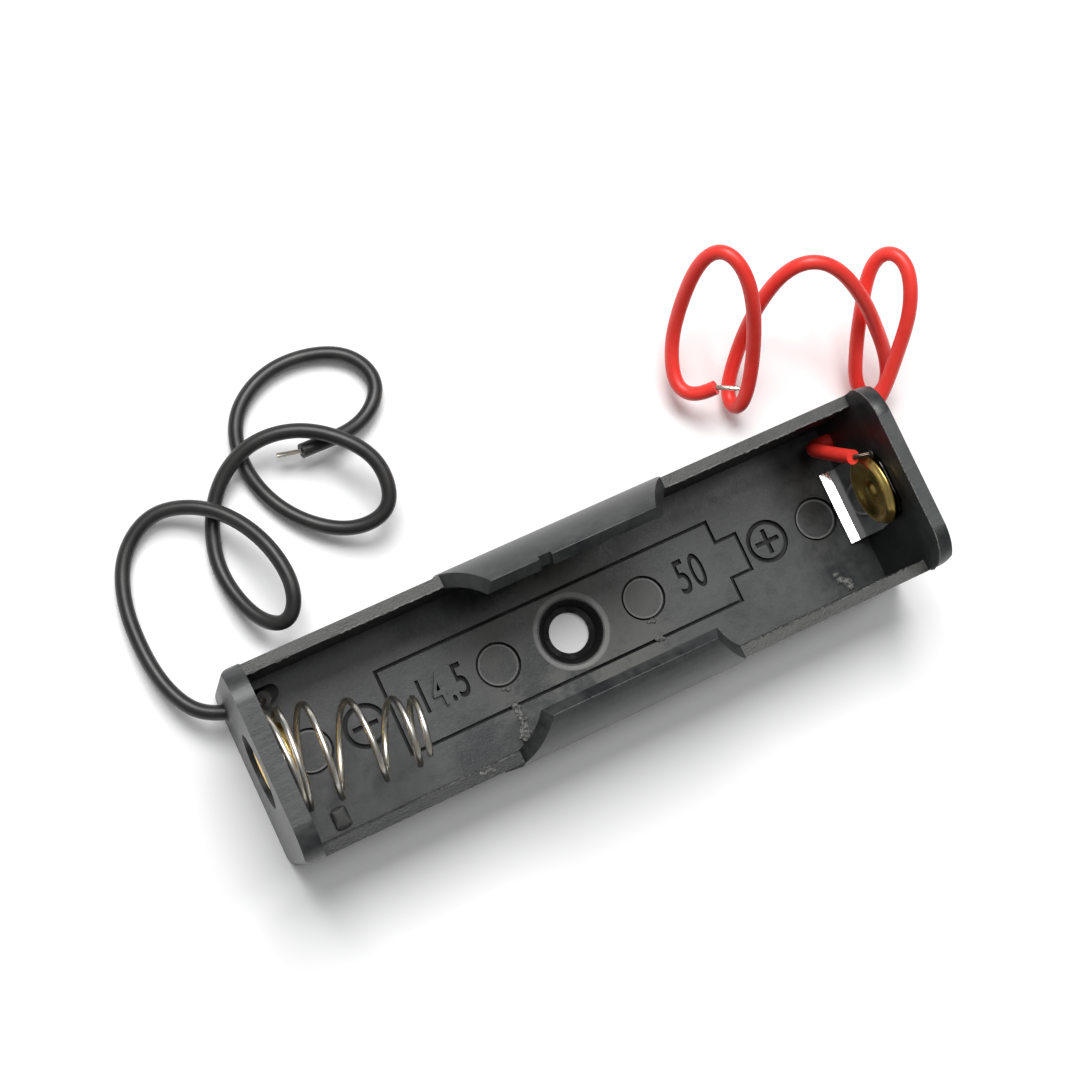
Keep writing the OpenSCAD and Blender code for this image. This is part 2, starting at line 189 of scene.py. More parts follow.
# %% The two leads
red_line = relaxed(smooth_line([mm(*p) for p in RED_ROUTE], STEPS_TO_A_STRETCH), RED_KEPT)
black_line = relaxed(smooth_line([mm(*p) for p in BLACK_ROUTE], STEPS_TO_A_STRETCH), BLACK_KEPT)
red_lead = round_curve("red_insulation", red_line, LEAD_R)
black_lead = round_curve("black_insulation", black_line, LEAD_R)
for lead, line in ((red_lead, red_line), (black_lead, black_line)):
    print(lead.name, round(length_of(line) / MM, 1), "mm")

# %% [markdown]
# ## Strands
#
# Where the insulation is stripped, a few fine tinned wires show, twisted together. Each
# is a thin helix round the same centre line, so the bundle catches the light like rope.

# %% Twisted strands
STRAND_R = 0.085 * MM
BUNDLE_R = 0.13 * MM
TWIST = 2.6 / MM
WIRES = 6


def twisted(name, lines):
    """One mesh of twisted wires along each of the lines."""
    parts = []
    for line in lines:
        for k in range(WIRES):
            helix = []
            run = 0
            for i, place in enumerate(line):
                ahead = (line[min(i + 1, len(line) - 1)] - line[max(i - 1, 0)]).normalized()
                side = ahead.orthogonal().normalized()
                other = ahead.cross(side)
                angle = TWIST * run + k * math.tau / WIRES
                helix.append(place + BUNDLE_R * (math.cos(angle) * side + math.sin(angle) * other))
                if i + 1 < len(line):
                    run += (line[i + 1] - place).length
            parts.append(round_curve(name, helix, STRAND_R, 2))
    return joined(name, parts)


def joined(name, parts):
    """One mesh object from several curves or meshes, in place, and the parts deleted."""
    whole = bmesh.new()
    graph = bpy.context.evaluated_depsgraph_get()
    for part in parts:
        flat = bpy.data.meshes.new_from_object(part.evaluated_get(graph))
        flat.transform(part.matrix_world)
        whole.from_mesh(flat)
        bpy.data.meshes.remove(flat)
        bpy.data.objects.remove(part)
    return finished(name, whole)


def finished(name, mesh, smooth_below=35):
    """A mesh object from a bmesh: faces that meet at less than the angle are shaded smooth."""
    for face in mesh.faces:
        face.smooth = True
    for edge in mesh.edges:
        edge.smooth = len(edge.link_faces) == 2 and edge.calc_face_angle(0) < math.radians(smooth_below)
    data = bpy.data.meshes.new(name)
    mesh.to_mesh(data)
    mesh.free()
    piece = bpy.data.objects.new(name, data)
    scene.collection.objects.link(piece)
    return piece


def straight(a, b, steps=40):
    return [a.lerp(b, i / steps) for i in range(steps + 1)]


# %% Strands at both ends of each lead
SOLDERED_RED = mm(27.76, 2.82, 11.39)
SOLDERED_BLACK = mm(-27.6, 4.75, 8.6)
red_strands = twisted("red_wire_ends", [
    straight(red_line[0], SOLDERED_RED), straight(red_line[-1], mm(*RED_TIP))])
black_strands = twisted("black_wire_ends", [
    straight(black_line[0], SOLDERED_BLACK), straight(black_line[-1], mm(*BLACK_TIP))])

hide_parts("red_lead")
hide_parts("black_lead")
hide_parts("red_strands")
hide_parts("black_strands")
print("strands:", len(red_strands.data.polygons), "and", len(black_strands.data.polygons), "faces")

# %% [markdown]
# ## Finishes: a little shader algebra
#
# A finish here is a node tree on one Principled shader. Sums of values are easier to
# read as sums, so a small class wraps a socket and turns + - * and powers into Math
# nodes. One method adds any other node.


# %% Shader values and finishes
class Value:
    """The output of a shader node, which can take part in sums."""

    def __init__(self, finish, socket):
        self.finish = finish
        self.socket = socket

    def math(self, operation, *numbers):
        return self.finish.add("Math", {"operation": operation}, *numbers)

    def __add__(self, other):
        return self.math("ADD", self, other)

    def __sub__(self, other):
        return self.math("SUBTRACT", self, other)

    def __rsub__(self, other):
        return self.math("SUBTRACT", other, self)

    def __mul__(self, other):
        return self.math("MULTIPLY", self, other)

    def __pow__(self, other):
        return self.math("POWER", self, other)

    __radd__ = __add__
    __rmul__ = __mul__

    def most(self, other):
        return self.math("MAXIMUM", self, other)

    def least(self, other):
        return self.math("MINIMUM", self, other)

    def size(self):
        return self.math("ABSOLUTE", self)

    def ramp(self, low, high):
        """Goes smoothly from 0 to 1 as the value goes from low to high."""
        settings = {"interpolation_type": "SMOOTHSTEP"}
        return self.finish.add("MapRange", settings, self, low, high, 0.0, 1.0)

    def between(self, low, low_done, high, high_done):
        """Goes from 0 to 1 up to low_done, stays there, and goes back from high to high_done."""
        return self.ramp(low, low_done) * (1 - self.ramp(high, high_done))


class Finish:
    """A material with one Principled shader and a method that adds nodes."""

    def __init__(self, name, **plain):
        self.material = bpy.data.materials.new(name)
        self.material.use_nodes = True
        self.tree = self.material.node_tree
        self.shader = self.tree.nodes["Principled BSDF"]
        for socket, value in plain.items():
            self.set(socket, value)
        place = self.tree.nodes.new("ShaderNodeTexCoord")
        self.place = Value(self, place.outputs["Object"])

    def feed(self, socket, value):
        """Links the value to the socket, or writes a plain number or colour into it."""
        if isinstance(value, Value):
            self.tree.links.new(value.socket, socket)
        else:
            socket.default_value = value

    def set(self, socket, value):
        self.feed(self.shader.inputs[socket.replace("_", " ")], value)

    def add(self, kind, settings=None, *inputs, output=0, **named):
        """Adds a node; inputs go by their order, and named ones by their sockets' names."""
        node = self.tree.nodes.new("ShaderNode" + kind)
        for key, value in (settings or {}).items():
            setattr(node, key, value)
        for key, value in [*enumerate(inputs), *named.items()]:
            self.feed(node.inputs[key if isinstance(key, int) else key.replace("_", " ")], value)
        return Value(self, node.outputs[output])

    def noise(self, feature, detail=2.0, rough=0.5, stretch=(1, 1, 1)):
        """Cloudy values from 0 to 1, with blobs about feature metres across."""
        place = self.add("Mapping", None, self.place, (0, 0, 0), (0, 0, 0), stretch)
        return self.add("TexNoise", None, Vector=place, Scale=1 / feature, Detail=detail, Roughness=rough)

    def axis(self, name):
        return self.add("SeparateXYZ", None, self.place, output="XYZ".index(name))

    def mix(self, factor, a, b):
        """The colour a where the factor is 0 and b where it is 1."""
        node = self.tree.nodes.new("ShaderNodeMix")
        node.data_type = "RGBA"
        for index, value in ((0, factor), (6, a), (7, b)):
            self.feed(node.inputs[index], value)
        return Value(self, node.outputs[2])

    def bump(self, height, distance):
        """Tilts the shader's normal as if the surface rose by height times distance, in metres."""
        normal = self.add("Bump", None, Strength=1.0, Distance=distance, Height=height)
        self.set("Normal", normal)

    def cover(self, *pieces):
        for piece in pieces:
            piece.data.materials.clear()
            piece.data.materials.append(self.material)


def colour(r, g, b):
    return (r, g, b, 1.0)


# %% [markdown]
# ## Insulation
#
# The leads are covered in soft plastic that was drawn through a die: nearly smooth,
# with a dull gloss, faint waviness and a little dirt. A cloudy noise moves the colour
# and the roughness slightly and bends the highlight, and a fine one adds grain. The
# strands are tinned copper, which is pale at the free tips and painted dark near the
# solder joints in the bay, as painted shade.


# %% Red and black insulation
def insulation(name, light, dark):
    """A soft plastic that varies between two colours."""
    finish = Finish(name)
    cloud = finish.noise(2.5 * MM, 3)
    grain = finish.noise(0.12 * MM, 2)
    finish.set("Base Color", finish.mix(cloud.ramp(0.3, 0.7), light, dark))
    finish.set("Roughness", 0.30 + 0.12 * cloud + 0.08 * grain)
    finish.bump(grain + 2.0 * cloud, 0.004 * MM)
    return finish


insulation("red_insulation", colour(0.96, 0.058, 0.042), colour(0.88, 0.042, 0.030)).cover(red_lead)
insulation("black_insulation", colour(0.030, 0.029, 0.028), colour(0.016, 0.016, 0.016)).cover(black_lead)
print("insulation:", red_lead.active_material.name, "and", black_lead.active_material.name)

# %% Tinned copper strands
JOINTS_BEYOND_X = 25 * MM
tinned = Finish("tinned_strands", Metallic=1.0)
tin_cloud = tinned.noise(0.3 * MM, 3)
# Near the solder joints the strands are painted dark: painted shade in the bay.
shade_at_joint = tinned.axis("X").size().ramp(JOINTS_BEYOND_X, JOINTS_BEYOND_X + 0.8 * MM)
bright = tinned.mix(tin_cloud, colour(0.74, 0.72, 0.69), colour(0.55, 0.47, 0.38))
tinned.set("Base Color", tinned.mix(shade_at_joint, bright, colour(0.12, 0.09, 0.07)))
tinned.set("Roughness", 0.25 + 0.2 * tin_cloud)
tinned.cover(red_strands, black_strands)
print("strand finish:", len(tinned.tree.nodes), "nodes")

# %% [markdown]
# ## Tray
#
# The tray is one moulding. Its form comes from the construction model, whose mesh is
# loose triangles, so a copy is merged, its flat faces are joined, and its edges are
# given the tiny radius that every moulding has. The cell's outline, the signs of the
# two ends and the cell's size in plain numbers are cut into the floor as real grooves.

# %% Copying and softening a construction mesh
FLOOR_TOP = 1.5
FLOOR_Z = FLOOR_TOP * MM
GROOVE_DEPTH = 0.42 * MM


def merged_copy(node):
    """The node's triangles as one closed mesh with whole flat faces."""
    mesh = bmesh.new()
    mesh.from_mesh(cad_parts[node].data)
    bmesh.ops.remove_doubles(mesh, verts=mesh.verts, dist=0.0005 * MM)
    bmesh.ops.dissolve_limit(mesh, angle_limit=math.radians(0.5), verts=mesh.verts, edges=mesh.edges)
    return mesh


def soften(mesh, width, chosen):
    """Rounds the sharp edges that chosen(middle of the edge) picks."""
    sharp = [e for e in mesh.edges
             if len(e.link_faces) == 2 and e.calc_face_angle(0) > math.radians(30)
             and chosen((e.verts[0].co + e.verts[1].co) / 2)]
    bmesh.ops.bevel(mesh, geom=sharp, affect="EDGES", offset=width, offset_type="OFFSET",
                    segments=2, profile=0.5, material=-1, clamp_overlap=True)
    print("rounded", len(sharp), "edges")


tray_mesh = merged_copy("tray")
print("tray:", len(tray_mesh.faces), "faces, open edges:",
      sum(len(e.link_faces) != 2 for e in tray_mesh.edges))
soften(tray_mesh, 0.1 * MM, lambda p: p.z > 2 * FLOOR_Z)
tray = finished("moulded_tray", tray_mesh)

# %% Cutters for the grooves
OUTLINE = [(-17.2, -3.95), (15.35, -3.95), (15.35, -1.8), (17.4, -1.8),
           (17.4, 1.95), (15.35, 1.95), (15.35, 3.95), (-17.2, 3.95)]
LINE_W = 0.3 * MM
SIGN_X = 19.65 * MM
SIGN_R = 1.95 * MM
SIGN_LINE = 0.42 * MM
BAR_REACH = 1.15 * MM
MARK_INNER_X, MARK_OUTER_X = 7.1 * MM, 24.7 * MM
MARK_R = 1.98 * MM
MARK_LINE = 0.2 * MM


def outline_face(mesh, points):
    """A flat face with those corners, at the depth of the grooves."""
    face = mesh.faces.new([mesh.verts.new((*p, FLOOR_Z - GROOVE_DEPTH)) for p in points])
    face.normal_update()
    return face


def to_ring(mesh, face, width):
    """Leaves only a band of that width inside the face's edge."""
    bmesh.ops.inset_region(mesh, faces=[face], thickness=width, use_boundary=True,
                           use_even_offset=True)
    bmesh.ops.delete(mesh, geom=[face], context="FACES")


def to_solid(mesh):
    """Thickens the flat faces of the mesh upwards, past the floor."""
    made = bmesh.ops.extrude_face_region(mesh, geom=mesh.faces[:])
    raised = [v for v in made["geom"] if isinstance(v, bmesh.types.BMVert)]
    bmesh.ops.translate(mesh, verts=raised, vec=(0, 0, 3 * GROOVE_DEPTH))
    bmesh.ops.recalc_face_normals(mesh, faces=mesh.faces[:])


def circle(middle_x, radius):
    return [(middle_x + radius * math.cos(a), radius * math.sin(a))
            for a in (math.tau * i / 64 for i in range(64))]


def bar_points(middle_x, long, thin):
    return [(middle_x + x, y) for x, y in ((-long, -thin), (long, -thin), (long, thin), (-long, thin))]


def plus_points(middle_x, long, thin):
    return [(middle_x + x, y) for x, y in (
        (-long, -thin), (-thin, -thin), (-thin, -long), (thin, -long), (thin, -thin), (long, -thin),
        (long, thin), (thin, thin), (thin, long), (-thin, long), (-thin, thin), (-long, thin))]


grooves = bmesh.new()
to_ring(grooves, outline_face(grooves, [(x * MM, y * MM) for x, y in OUTLINE]), LINE_W)
for sign_x in (-SIGN_X, SIGN_X):
    to_ring(grooves, outline_face(grooves, circle(sign_x, SIGN_R)), SIGN_LINE)
for mark_x in (-MARK_OUTER_X, -MARK_INNER_X, MARK_INNER_X, MARK_OUTER_X):
    to_ring(grooves, outline_face(grooves, circle(mark_x, MARK_R)), MARK_LINE)
outline_face(grooves, bar_points(-SIGN_X, BAR_REACH, SIGN_LINE / 2))
outline_face(grooves, plus_points(SIGN_X, BAR_REACH, SIGN_LINE / 2))
to_solid(grooves)
groove_cutter = finished("groove_cutter", grooves)
print("groove cutter:", len(groove_cutter.data.polygons), "faces")


# %% Numbers: the size of the cell that fits
DIGIT_HEIGHT_SHARE = 0.72
SQUEEZE = 0.62


def numerals(text, centre, height):
    """A solid of the number, narrowed sideways and centred on a point of the floor."""
    data = bpy.data.curves.new("numerals", "FONT")
    data.body = text
    data.align_x = "CENTER"
    data.align_y = "CENTER"
    data.size = height / DIGIT_HEIGHT_SHARE
    data.extrude = GROOVE_DEPTH
    data.offset = 0.035 * MM
    data.resolution_u = 5
    data.space_character = 1.08
    solid = bpy.data.objects.new("numerals", data)
    solid.matrix_world = Matrix.Translation((*centre, FLOOR_Z)) @ Matrix.Diagonal((SQUEEZE, 1, 1, 1))
    scene.collection.objects.link(solid)
    bpy.context.view_layer.update()
    return solid


number_cutter = joined("number_cutter", [
    numerals("14.5", mm(-12.4, 0.05), 3.1 * MM),
    numerals("50", mm(11.9, 0.1), 3.2 * MM)])
seam = bmesh.new()
seam.from_mesh(number_cutter.data)
bmesh.ops.remove_doubles(seam, verts=seam.verts, dist=0.001 * MM)
bmesh.ops.recalc_face_normals(seam, faces=seam.faces[:])
seam.to_mesh(number_cutter.data)
seam.free()
print("number cutter:", len(number_cutter.data.polygons), "faces")


# %% Cut the grooves
def cut(piece, *cutters):
    """Takes the cutters' solids out of the piece for good, and deletes them."""
    for cutter in cutters:
        step = piece.modifiers.new("cut", "BOOLEAN")
        step.operation = "DIFFERENCE"
        step.solver = "EXACT"
        step.object = cutter
    graph = bpy.context.evaluated_depsgraph_get()
    mesh = bmesh.new()
    mesh.from_mesh(bpy.data.meshes.new_from_object(piece.evaluated_get(graph)))
    name = piece.name
    for spent in (piece, *cutters):
        bpy.data.objects.remove(spent)
    return finished(name, mesh)


tray = cut(tray, groove_cutter, number_cutter)
tray.modifiers.new("even_normals", "WEIGHTED_NORMAL").keep_sharp = True
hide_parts("tray")
print("tray with its grooves:", len(tray.data.polygons), "faces")

# %% [markdown]
# ## Marks of the mould
#
# The mould has left a raised lump, crumbs of plastic that were torn off and pressed back,
# and a thin ragged flash along the inner edges of the rims. Noise in a finish couldn't
# stand up from an edge, so both are made as shapes. Crumbs are small dented balls, and
# the flash is a three-sided strip whose crest wanders.

# %% Sizes of the rims, in millimetres
WALL_IN_Y = 7.3
WALL_TOP = 10.6
PLATE_FACE_X = 28.4
PLATE_HALF_W = 8.3
PLATE_TOP = 15
PLATE_CORNER_R = 3.2
PLATE_FLAT_Y = PLATE_HALF_W - PLATE_CORNER_R
PLATE_SIDE_TOP = PLATE_TOP - PLATE_CORNER_R
print("walls end", round(PLATE_TOP - WALL_TOP, 1), "mm below the end plates")

# %% Crumbs
chance = random.Random(7)
crumbs = bmesh.new()


def crumb(place, size, dent=0.25, square=1.0):
    """Adds a dented ball; size is its half widths in millimetres, and square < 1 boxes it."""
    made = bmesh.ops.create_icosphere(crumbs, subdivisions=3, radius=1)
    phase = [chance.uniform(0, 6) for _ in range(3)]
    for vert in made["verts"]:
        p = vert.co
        swell = 1 + (dent * math.sin(4 * p.x + phase[0]) * math.sin(5 * p.y + phase[1])
                     * math.cos(4 * p.z + phase[2]))
        boxed = Vector(math.copysign(abs(a) ** square, a) * b for a, b in zip(p, size))
        vert.co = place + boxed * swell * MM


# The raised lump in the corner, then the single crumbs: X, Y and half width of each.
crumb(mm(-24.7, -6.1, FLOOR_TOP), (0.72, 0.95, 0.5), 0.14, 0.45)
for x, y, r in ((7.0, -2.15, 0.3), (-7.2, -2.25, 0.26), (-7.6, -2.1, 0.2), (6.6, -2.1, 0.2),
                (6.8, -3.8, 0.36), (7.15, -3.95, 0.22), (-7.3, -3.75, 0.34), (-7.0, -4.05, 0.24),
                (24.3, -5.9, 0.42), (24.8, -6.3, 0.5), (24.1, -5.3, 0.28), (24.9, -6.8, 0.4)):
    crumb(mm(x, y, FLOOR_TOP), (r, 0.8 * r, 0.5 * r))
# A scuff that crosses the floor and climbs the front wall, and a few crumbs on that wall.
SCUFF_CRUMBS = 26
for i in range(SCUFF_CRUMBS):
    t = i / (SCUFF_CRUMBS - 1)
    climb = max(0, t - 0.4)
    crumb(mm(-7.15 + chance.gauss(0, 0.22) - 0.5 * t, -4.3 - 3.0 * min(t / 0.55, 1),
             FLOOR_TOP + 7.0 * climb),
          (chance.uniform(0.12, 0.42), chance.uniform(0.12, 0.34), chance.uniform(0.05, 0.16)),
          0.45, 0.8)
for i in range(5):
    crumb(mm(-13.9 + 0.25 * i, -7.75 + chance.uniform(-0.2, 0.2), WALL_TOP), (0.2, 0.14, 0.08), 0.4)
crumb_piece = finished("mould_crumbs", crumbs, 60)
print("crumbs:", len(crumb_piece.data.polygons), "faces")

# %% A ragged strip
flash = bmesh.new()


def flash_strip(line, inward, lift):
    """Adds a ragged strip along the line; lift(i) is the direction that its crest stands in."""
    rows = []
    for i, place in enumerate(line):
        crest = chance.random() ** 3
        up = lift(i)
        rows.append([flash.verts.new(place - 0.10 * MM * inward), flash.verts.new(place - 0.12 * MM * up),
                     flash.verts.new(place + (0.02 + 0.16 * crest) * MM * up + 0.12 * crest * MM * inward)])
    for a, b in zip(rows, rows[1:]):
        for k in range(3):
            flash.faces.new((a[k], b[k], b[(k + 1) % 3], a[(k + 1) % 3]))
    flash.faces.new(rows[0])
    flash.faces.new(reversed(rows[-1]))


def along(start, end, step=0.22 * MM):
    return straight(start, end, round((end - start).length / step))


# %% Flash on the side walls
UP = Vector((0, 0, 1))
for side in (-1, 1):
    for start, end in ((-27.9, -10.6), (10.6, 28.3)):
        flash_strip(along(mm(start, side * WALL_IN_Y, WALL_TOP), mm(end, side * WALL_IN_Y, WALL_TOP)),
                    Vector((0, -side, 0)), lambda i: UP)
print("flash on the walls:", len(flash.faces), "faces")

# %% Flash on the positive end plate
corner = [math.pi / 2 * i / 16 for i in range(1, 17)]
arch = along(mm(PLATE_FACE_X, -PLATE_HALF_W, WALL_TOP + 0.3), mm(PLATE_FACE_X, -PLATE_HALF_W, PLATE_SIDE_TOP))
arch += [mm(PLATE_FACE_X, -PLATE_FLAT_Y - PLATE_CORNER_R * math.cos(a),
            PLATE_SIDE_TOP + PLATE_CORNER_R * math.sin(a)) for a in corner]
arch += along(arch[-1], mm(PLATE_FACE_X, PLATE_FLAT_Y, PLATE_TOP))[1:]
arch += [mm(PLATE_FACE_X, PLATE_FLAT_Y + PLATE_CORNER_R * math.sin(a),
            PLATE_SIDE_TOP + PLATE_CORNER_R * math.cos(a)) for a in corner]


def arch_lift(i):
    """Straight away from the plate's inner outline, and round its corners."""
    p = arch[i]
    core_y = max(-PLATE_FLAT_Y * MM, min(p.y, PLATE_FLAT_Y * MM))
    core = Vector((p.x, core_y, min(p.z, PLATE_SIDE_TOP * MM)))
    return (p - core).normalized()


flash_strip(arch, Vector((-1, 0, 0)), arch_lift)
bmesh.ops.recalc_face_normals(flash, faces=flash.faces[:])
flash_piece = finished("mould_flash", flash)
print("flash:", len(flash_piece.data.polygons), "faces")

# %% [markdown]
# ## Spring
#
# The spring is one length of tinned steel wire: a hook under the rivet, a close turn,
# four open turns that draw in to a smaller ring, and a cut end. The free spring leans a
# little, which sets in over its first two turns. Its centre line is worked out turn by
# turn and given a round section.

# %% Spring wire
WIRE_R = 0.275 * MM
BASE_X = -27.75 * MM
CONTACT_Z = 9 * MM
FLAT_TURNS, OPEN_TURNS, END_TURNS = 1, 4, 0.4
CLOSE_PITCH = 0.75 * MM
SPRING_RISE = 10.4 * MM
BASE_R, TIP_R, HOOK_R = 4.2 * MM, 2.65 * MM, 1.5 * MM
LEAN = math.radians(12)
LEAN_TURNS = 2
TURN_STEPS = 72


def ease(t):
    t = max(0, min(t, 1))
    return t * t * (3 - 2 * t)


def spring_point(n):
    """Point of the wire after n turns, from the hook at -1."""
    angle = math.tau * n
    if n < 0:
        r = HOOK_R + (BASE_R - HOOK_R) * (n + 1)
        return Vector((BASE_X, r * math.cos(angle), CONTACT_Z + r * math.sin(angle)))
    r = BASE_R + (TIP_R - BASE_R) * ease((n - FLAT_TURNS - 0.5) / (OPEN_TURNS - 0.5))
    x = (CLOSE_PITCH * (min(n, FLAT_TURNS) + max(0, n - FLAT_TURNS - OPEN_TURNS))
         + SPRING_RISE * ease((n - FLAT_TURNS) / OPEN_TURNS))
    y = r * math.cos(angle)
    tilt = min(n / LEAN_TURNS, 1)
    lean = LEAN * tilt
    return Vector((BASE_X + x * math.cos(LEAN) + y * math.sin(LEAN) * tilt,
                   y * math.cos(lean) - x * math.sin(LEAN), CONTACT_Z + r * math.sin(angle)))


turns = 1 + FLAT_TURNS + OPEN_TURNS + END_TURNS
wire_line = [spring_point(i / TURN_STEPS - 1) for i in range(round(turns * TURN_STEPS) + 1)]
spring = joined("spring_wire", [round_curve("wire", wire_line, WIRE_R, 4)])
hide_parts("spring")
print("spring:", len(spring.data.polygons), "faces")

# %% [markdown]
# ## Rivets
#
# Each contact rivet is turned and pressed brass: a raised middle in a dish with a wide
# rolled rim, a shank through the end plate, and a tail that was rolled over outside.
# That is a spun shape, so half of its outline is drawn once and spun round the axis.

# %% Spinning a rivet
# Each point is a distance from the axis and a depth below the head's or the tail's top.
HEAD = [(0, 0.02), (0.28, 0.03), (0.48, 0.09), (0.64, 0.22), (0.74, 0.38), (0.84, 0.46), (1.1, 0.48),
        (1.3, 0.54), (1.5, 0.62), (1.8, 0.56),
        (2.06, 0.42), (2.3, 0.24), (2.5, 0.08), (2.68, 0.0), (2.84, 0.03), (2.96, 0.14), (3.03, 0.3),
        (3.12, 0.45), (3.24, 0.56), (3.25, 0.66), (3.16, 0.76), (2.9, 0.84), (1.9, 0.9), (1.2, 0.9)]
TAIL = [(1.2, 0.45), (1.66, 0.45), (1.84, 0.38), (1.9, 0.24), (1.84, 0.1), (1.66, 0.0), (1.4, 0.02),
        (1.1, 0.12), (0.8, 0.3), (0.5, 0.38), (0, 0.4)]


def rivet(name, node, inward):
    """The rivet of that node; inward is the sign of X from its tail towards the bay."""
    low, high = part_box(node)
    front, back = (high.x, low.x) if inward > 0 else (low.x, high.x)
    middle = (low + high) / 2
    mesh = bmesh.new()
    outline = [(r, front - inward * d * MM) for r, d in HEAD]
    outline += [(r, back + inward * d * MM) for r, d in TAIL]
    points = [mesh.verts.new((x, 0, middle.z + r * MM)) for r, x in outline]
    edges = [mesh.edges.new(pair) for pair in zip(points, points[1:])]
    bmesh.ops.spin(mesh, geom=points + edges, cent=(0, 0, middle.z), axis=(1, 0, 0),
                   angle=math.tau, steps=72, use_merge=True)
    bmesh.ops.remove_doubles(mesh, verts=mesh.verts, dist=0.0005 * MM)
    bmesh.ops.recalc_face_normals(mesh, faces=mesh.faces[:])
    piece = finished(name, mesh, 50)
    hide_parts(node)
    return piece


positive_rivet = rivet("positive_rivet_head", "positive_rivet", -1)
negative_rivet = rivet("negative_rivet_head", "negative_rivet", 1)
print("rivets:", len(positive_rivet.data.polygons), "faces each")

# %% [markdown]
# ## Solder lug and solder
#
# The lug is a strip of bright nickel plate, bent once for its foot. A copy of the
# construction model is nearly right: its foot is tilted up a little, its rounded top is
# drawn in behind the rivet's head, and its edges are softened. The two solder joints are
# drops that froze as they wetted the metal: low, round and slightly uneven.

# %% Lug
lug_mesh = merged_copy("solder_lug")
FOOT_END_X = 26.6 * MM
FOOT_TOP_Z = 2.5 * MM
FOOT_SLOPE = 0.25
ROUND_TOP_Z = 9.6 * MM
DRAWN_IN = 0.9
for vert in lug_mesh.verts:
    if vert.co.z < FOOT_TOP_Z:
        vert.co.z += FOOT_SLOPE * (vert.co.x - FOOT_END_X)
    elif vert.co.z > ROUND_TOP_Z:
        vert.co.yz = (DRAWN_IN * vert.co.y, CONTACT_Z + DRAWN_IN * (vert.co.z - CONTACT_Z))
soften(lug_mesh, 0.05 * MM, lambda p: True)
lug = finished("nickel_lug", lug_mesh)
lug.modifiers.new("even_normals", "WEIGHTED_NORMAL").keep_sharp = True
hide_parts("solder_lug")


# %% Drops of solder
def drop(name, node):
    """An uneven drop that fills the node's box."""
    low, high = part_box(node)
    half = (high - low) / 2
    mesh = bmesh.new()
    bmesh.ops.create_icosphere(mesh, subdivisions=4, radius=1)
    for vert in mesh.verts:
        swell = 1 + 0.05 * math.sin(5 * vert.co.y + 2 * vert.co.z) * math.sin(4 * vert.co.x + 1)
        vert.co = Vector(a * b for a, b in zip(vert.co, half)) * swell / 1.05
    bmesh.ops.translate(mesh, verts=mesh.verts, vec=(low + high) / 2)
    piece = finished(name, mesh, 60)
    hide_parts(node)
    return piece


positive_drop = drop("positive_solder_drop", "positive_solder")
negative_drop = drop("negative_solder_drop", "negative_solder")
print("drops:", len(positive_drop.data.polygons), "faces each")

# %% [markdown]
# ## Finishes of the tray and the metal
#
# The tray is black plastic that isn't the same all over: cloudy gloss on the floor, dull
# streaked walls, pale patches and pale rims. Painted highlights ring the marks and the
# screw's seat, and painted shade darkens the grooves, the seat and the front-left rim.
# Each of these is a mask, a value from 0 to 1 made from the place on the tray, and the
# masks mix the colours. The metals need less: two tones in clouds, and fine scratches;
# the lug's top and the solder are painted dark, as painted shade.

# %% Tray plastic: where things are
plastic = Finish("tray_plastic")
# The Z part of the surface's normal is 1 where the plastic faces straight up.
normal = plastic.add("NewGeometry", None, output=1)
facing = plastic.add("SeparateXYZ", None, normal, output=2)
height = plastic.axis("Z")
from_axis = (plastic.axis("X") ** 2 + plastic.axis("Y") ** 2) ** 0.5
along_x = plastic.axis("X").size()
across_y = plastic.axis("Y") ** 2
level = facing.ramp(0.8, 0.95)
near_floor = 1 - height.ramp((FLOOR_TOP + 0.05) * MM, (FLOOR_TOP + 0.2) * MM)
on_floor = near_floor * level
on_rim = height.between((WALL_TOP - 0.3) * MM, (WALL_TOP - 0.1) * MM,
                        (WALL_TOP + 0.1) * MM, (WALL_TOP + 0.3) * MM) * level
# Mask of the front wall's top on the left, where shade is painted.
shaded_front_left = (1 - plastic.axis("Y").ramp(-1 * MM, 1 * MM)) * (1 - plastic.axis("X").ramp(-10 * MM, 4 * MM))

# %% Tray plastic: the marks and the screw's seat
from_inner = ((along_x - MARK_INNER_X) ** 2 + across_y) ** 0.5
from_outer = ((along_x - MARK_OUTER_X) ** 2 + across_y) ** 0.5
from_mark = from_inner.least(from_outer)
mark_edge = near_floor * from_mark.between(1.58 * MM, 1.70 * MM, 1.74 * MM, 1.80 * MM)
SEAT_R = 3 * MM
in_seat = (height.between(0.02 * MM, 0.05 * MM, 1.1 * MM, 1.3 * MM)
           * (1 - from_axis.ramp(SEAT_R - 0.05 * MM, SEAT_R + 0.02 * MM)))
seat_edge = near_floor * from_axis.between(SEAT_R - 0.01 * MM, SEAT_R + 0.03 * MM, 3.30 * MM, 3.5 * MM)
in_bay = (1 - along_x.ramp(27.5 * MM, 27.6 * MM)) * (1 - across_y.ramp((6 * MM) ** 2, (6.05 * MM) ** 2))
in_groove = (in_bay * height.between(0.6 * MM, 0.7 * MM, 1.2 * MM, 1.3 * MM)
             * from_axis.ramp(3.5 * MM, 3.6 * MM))

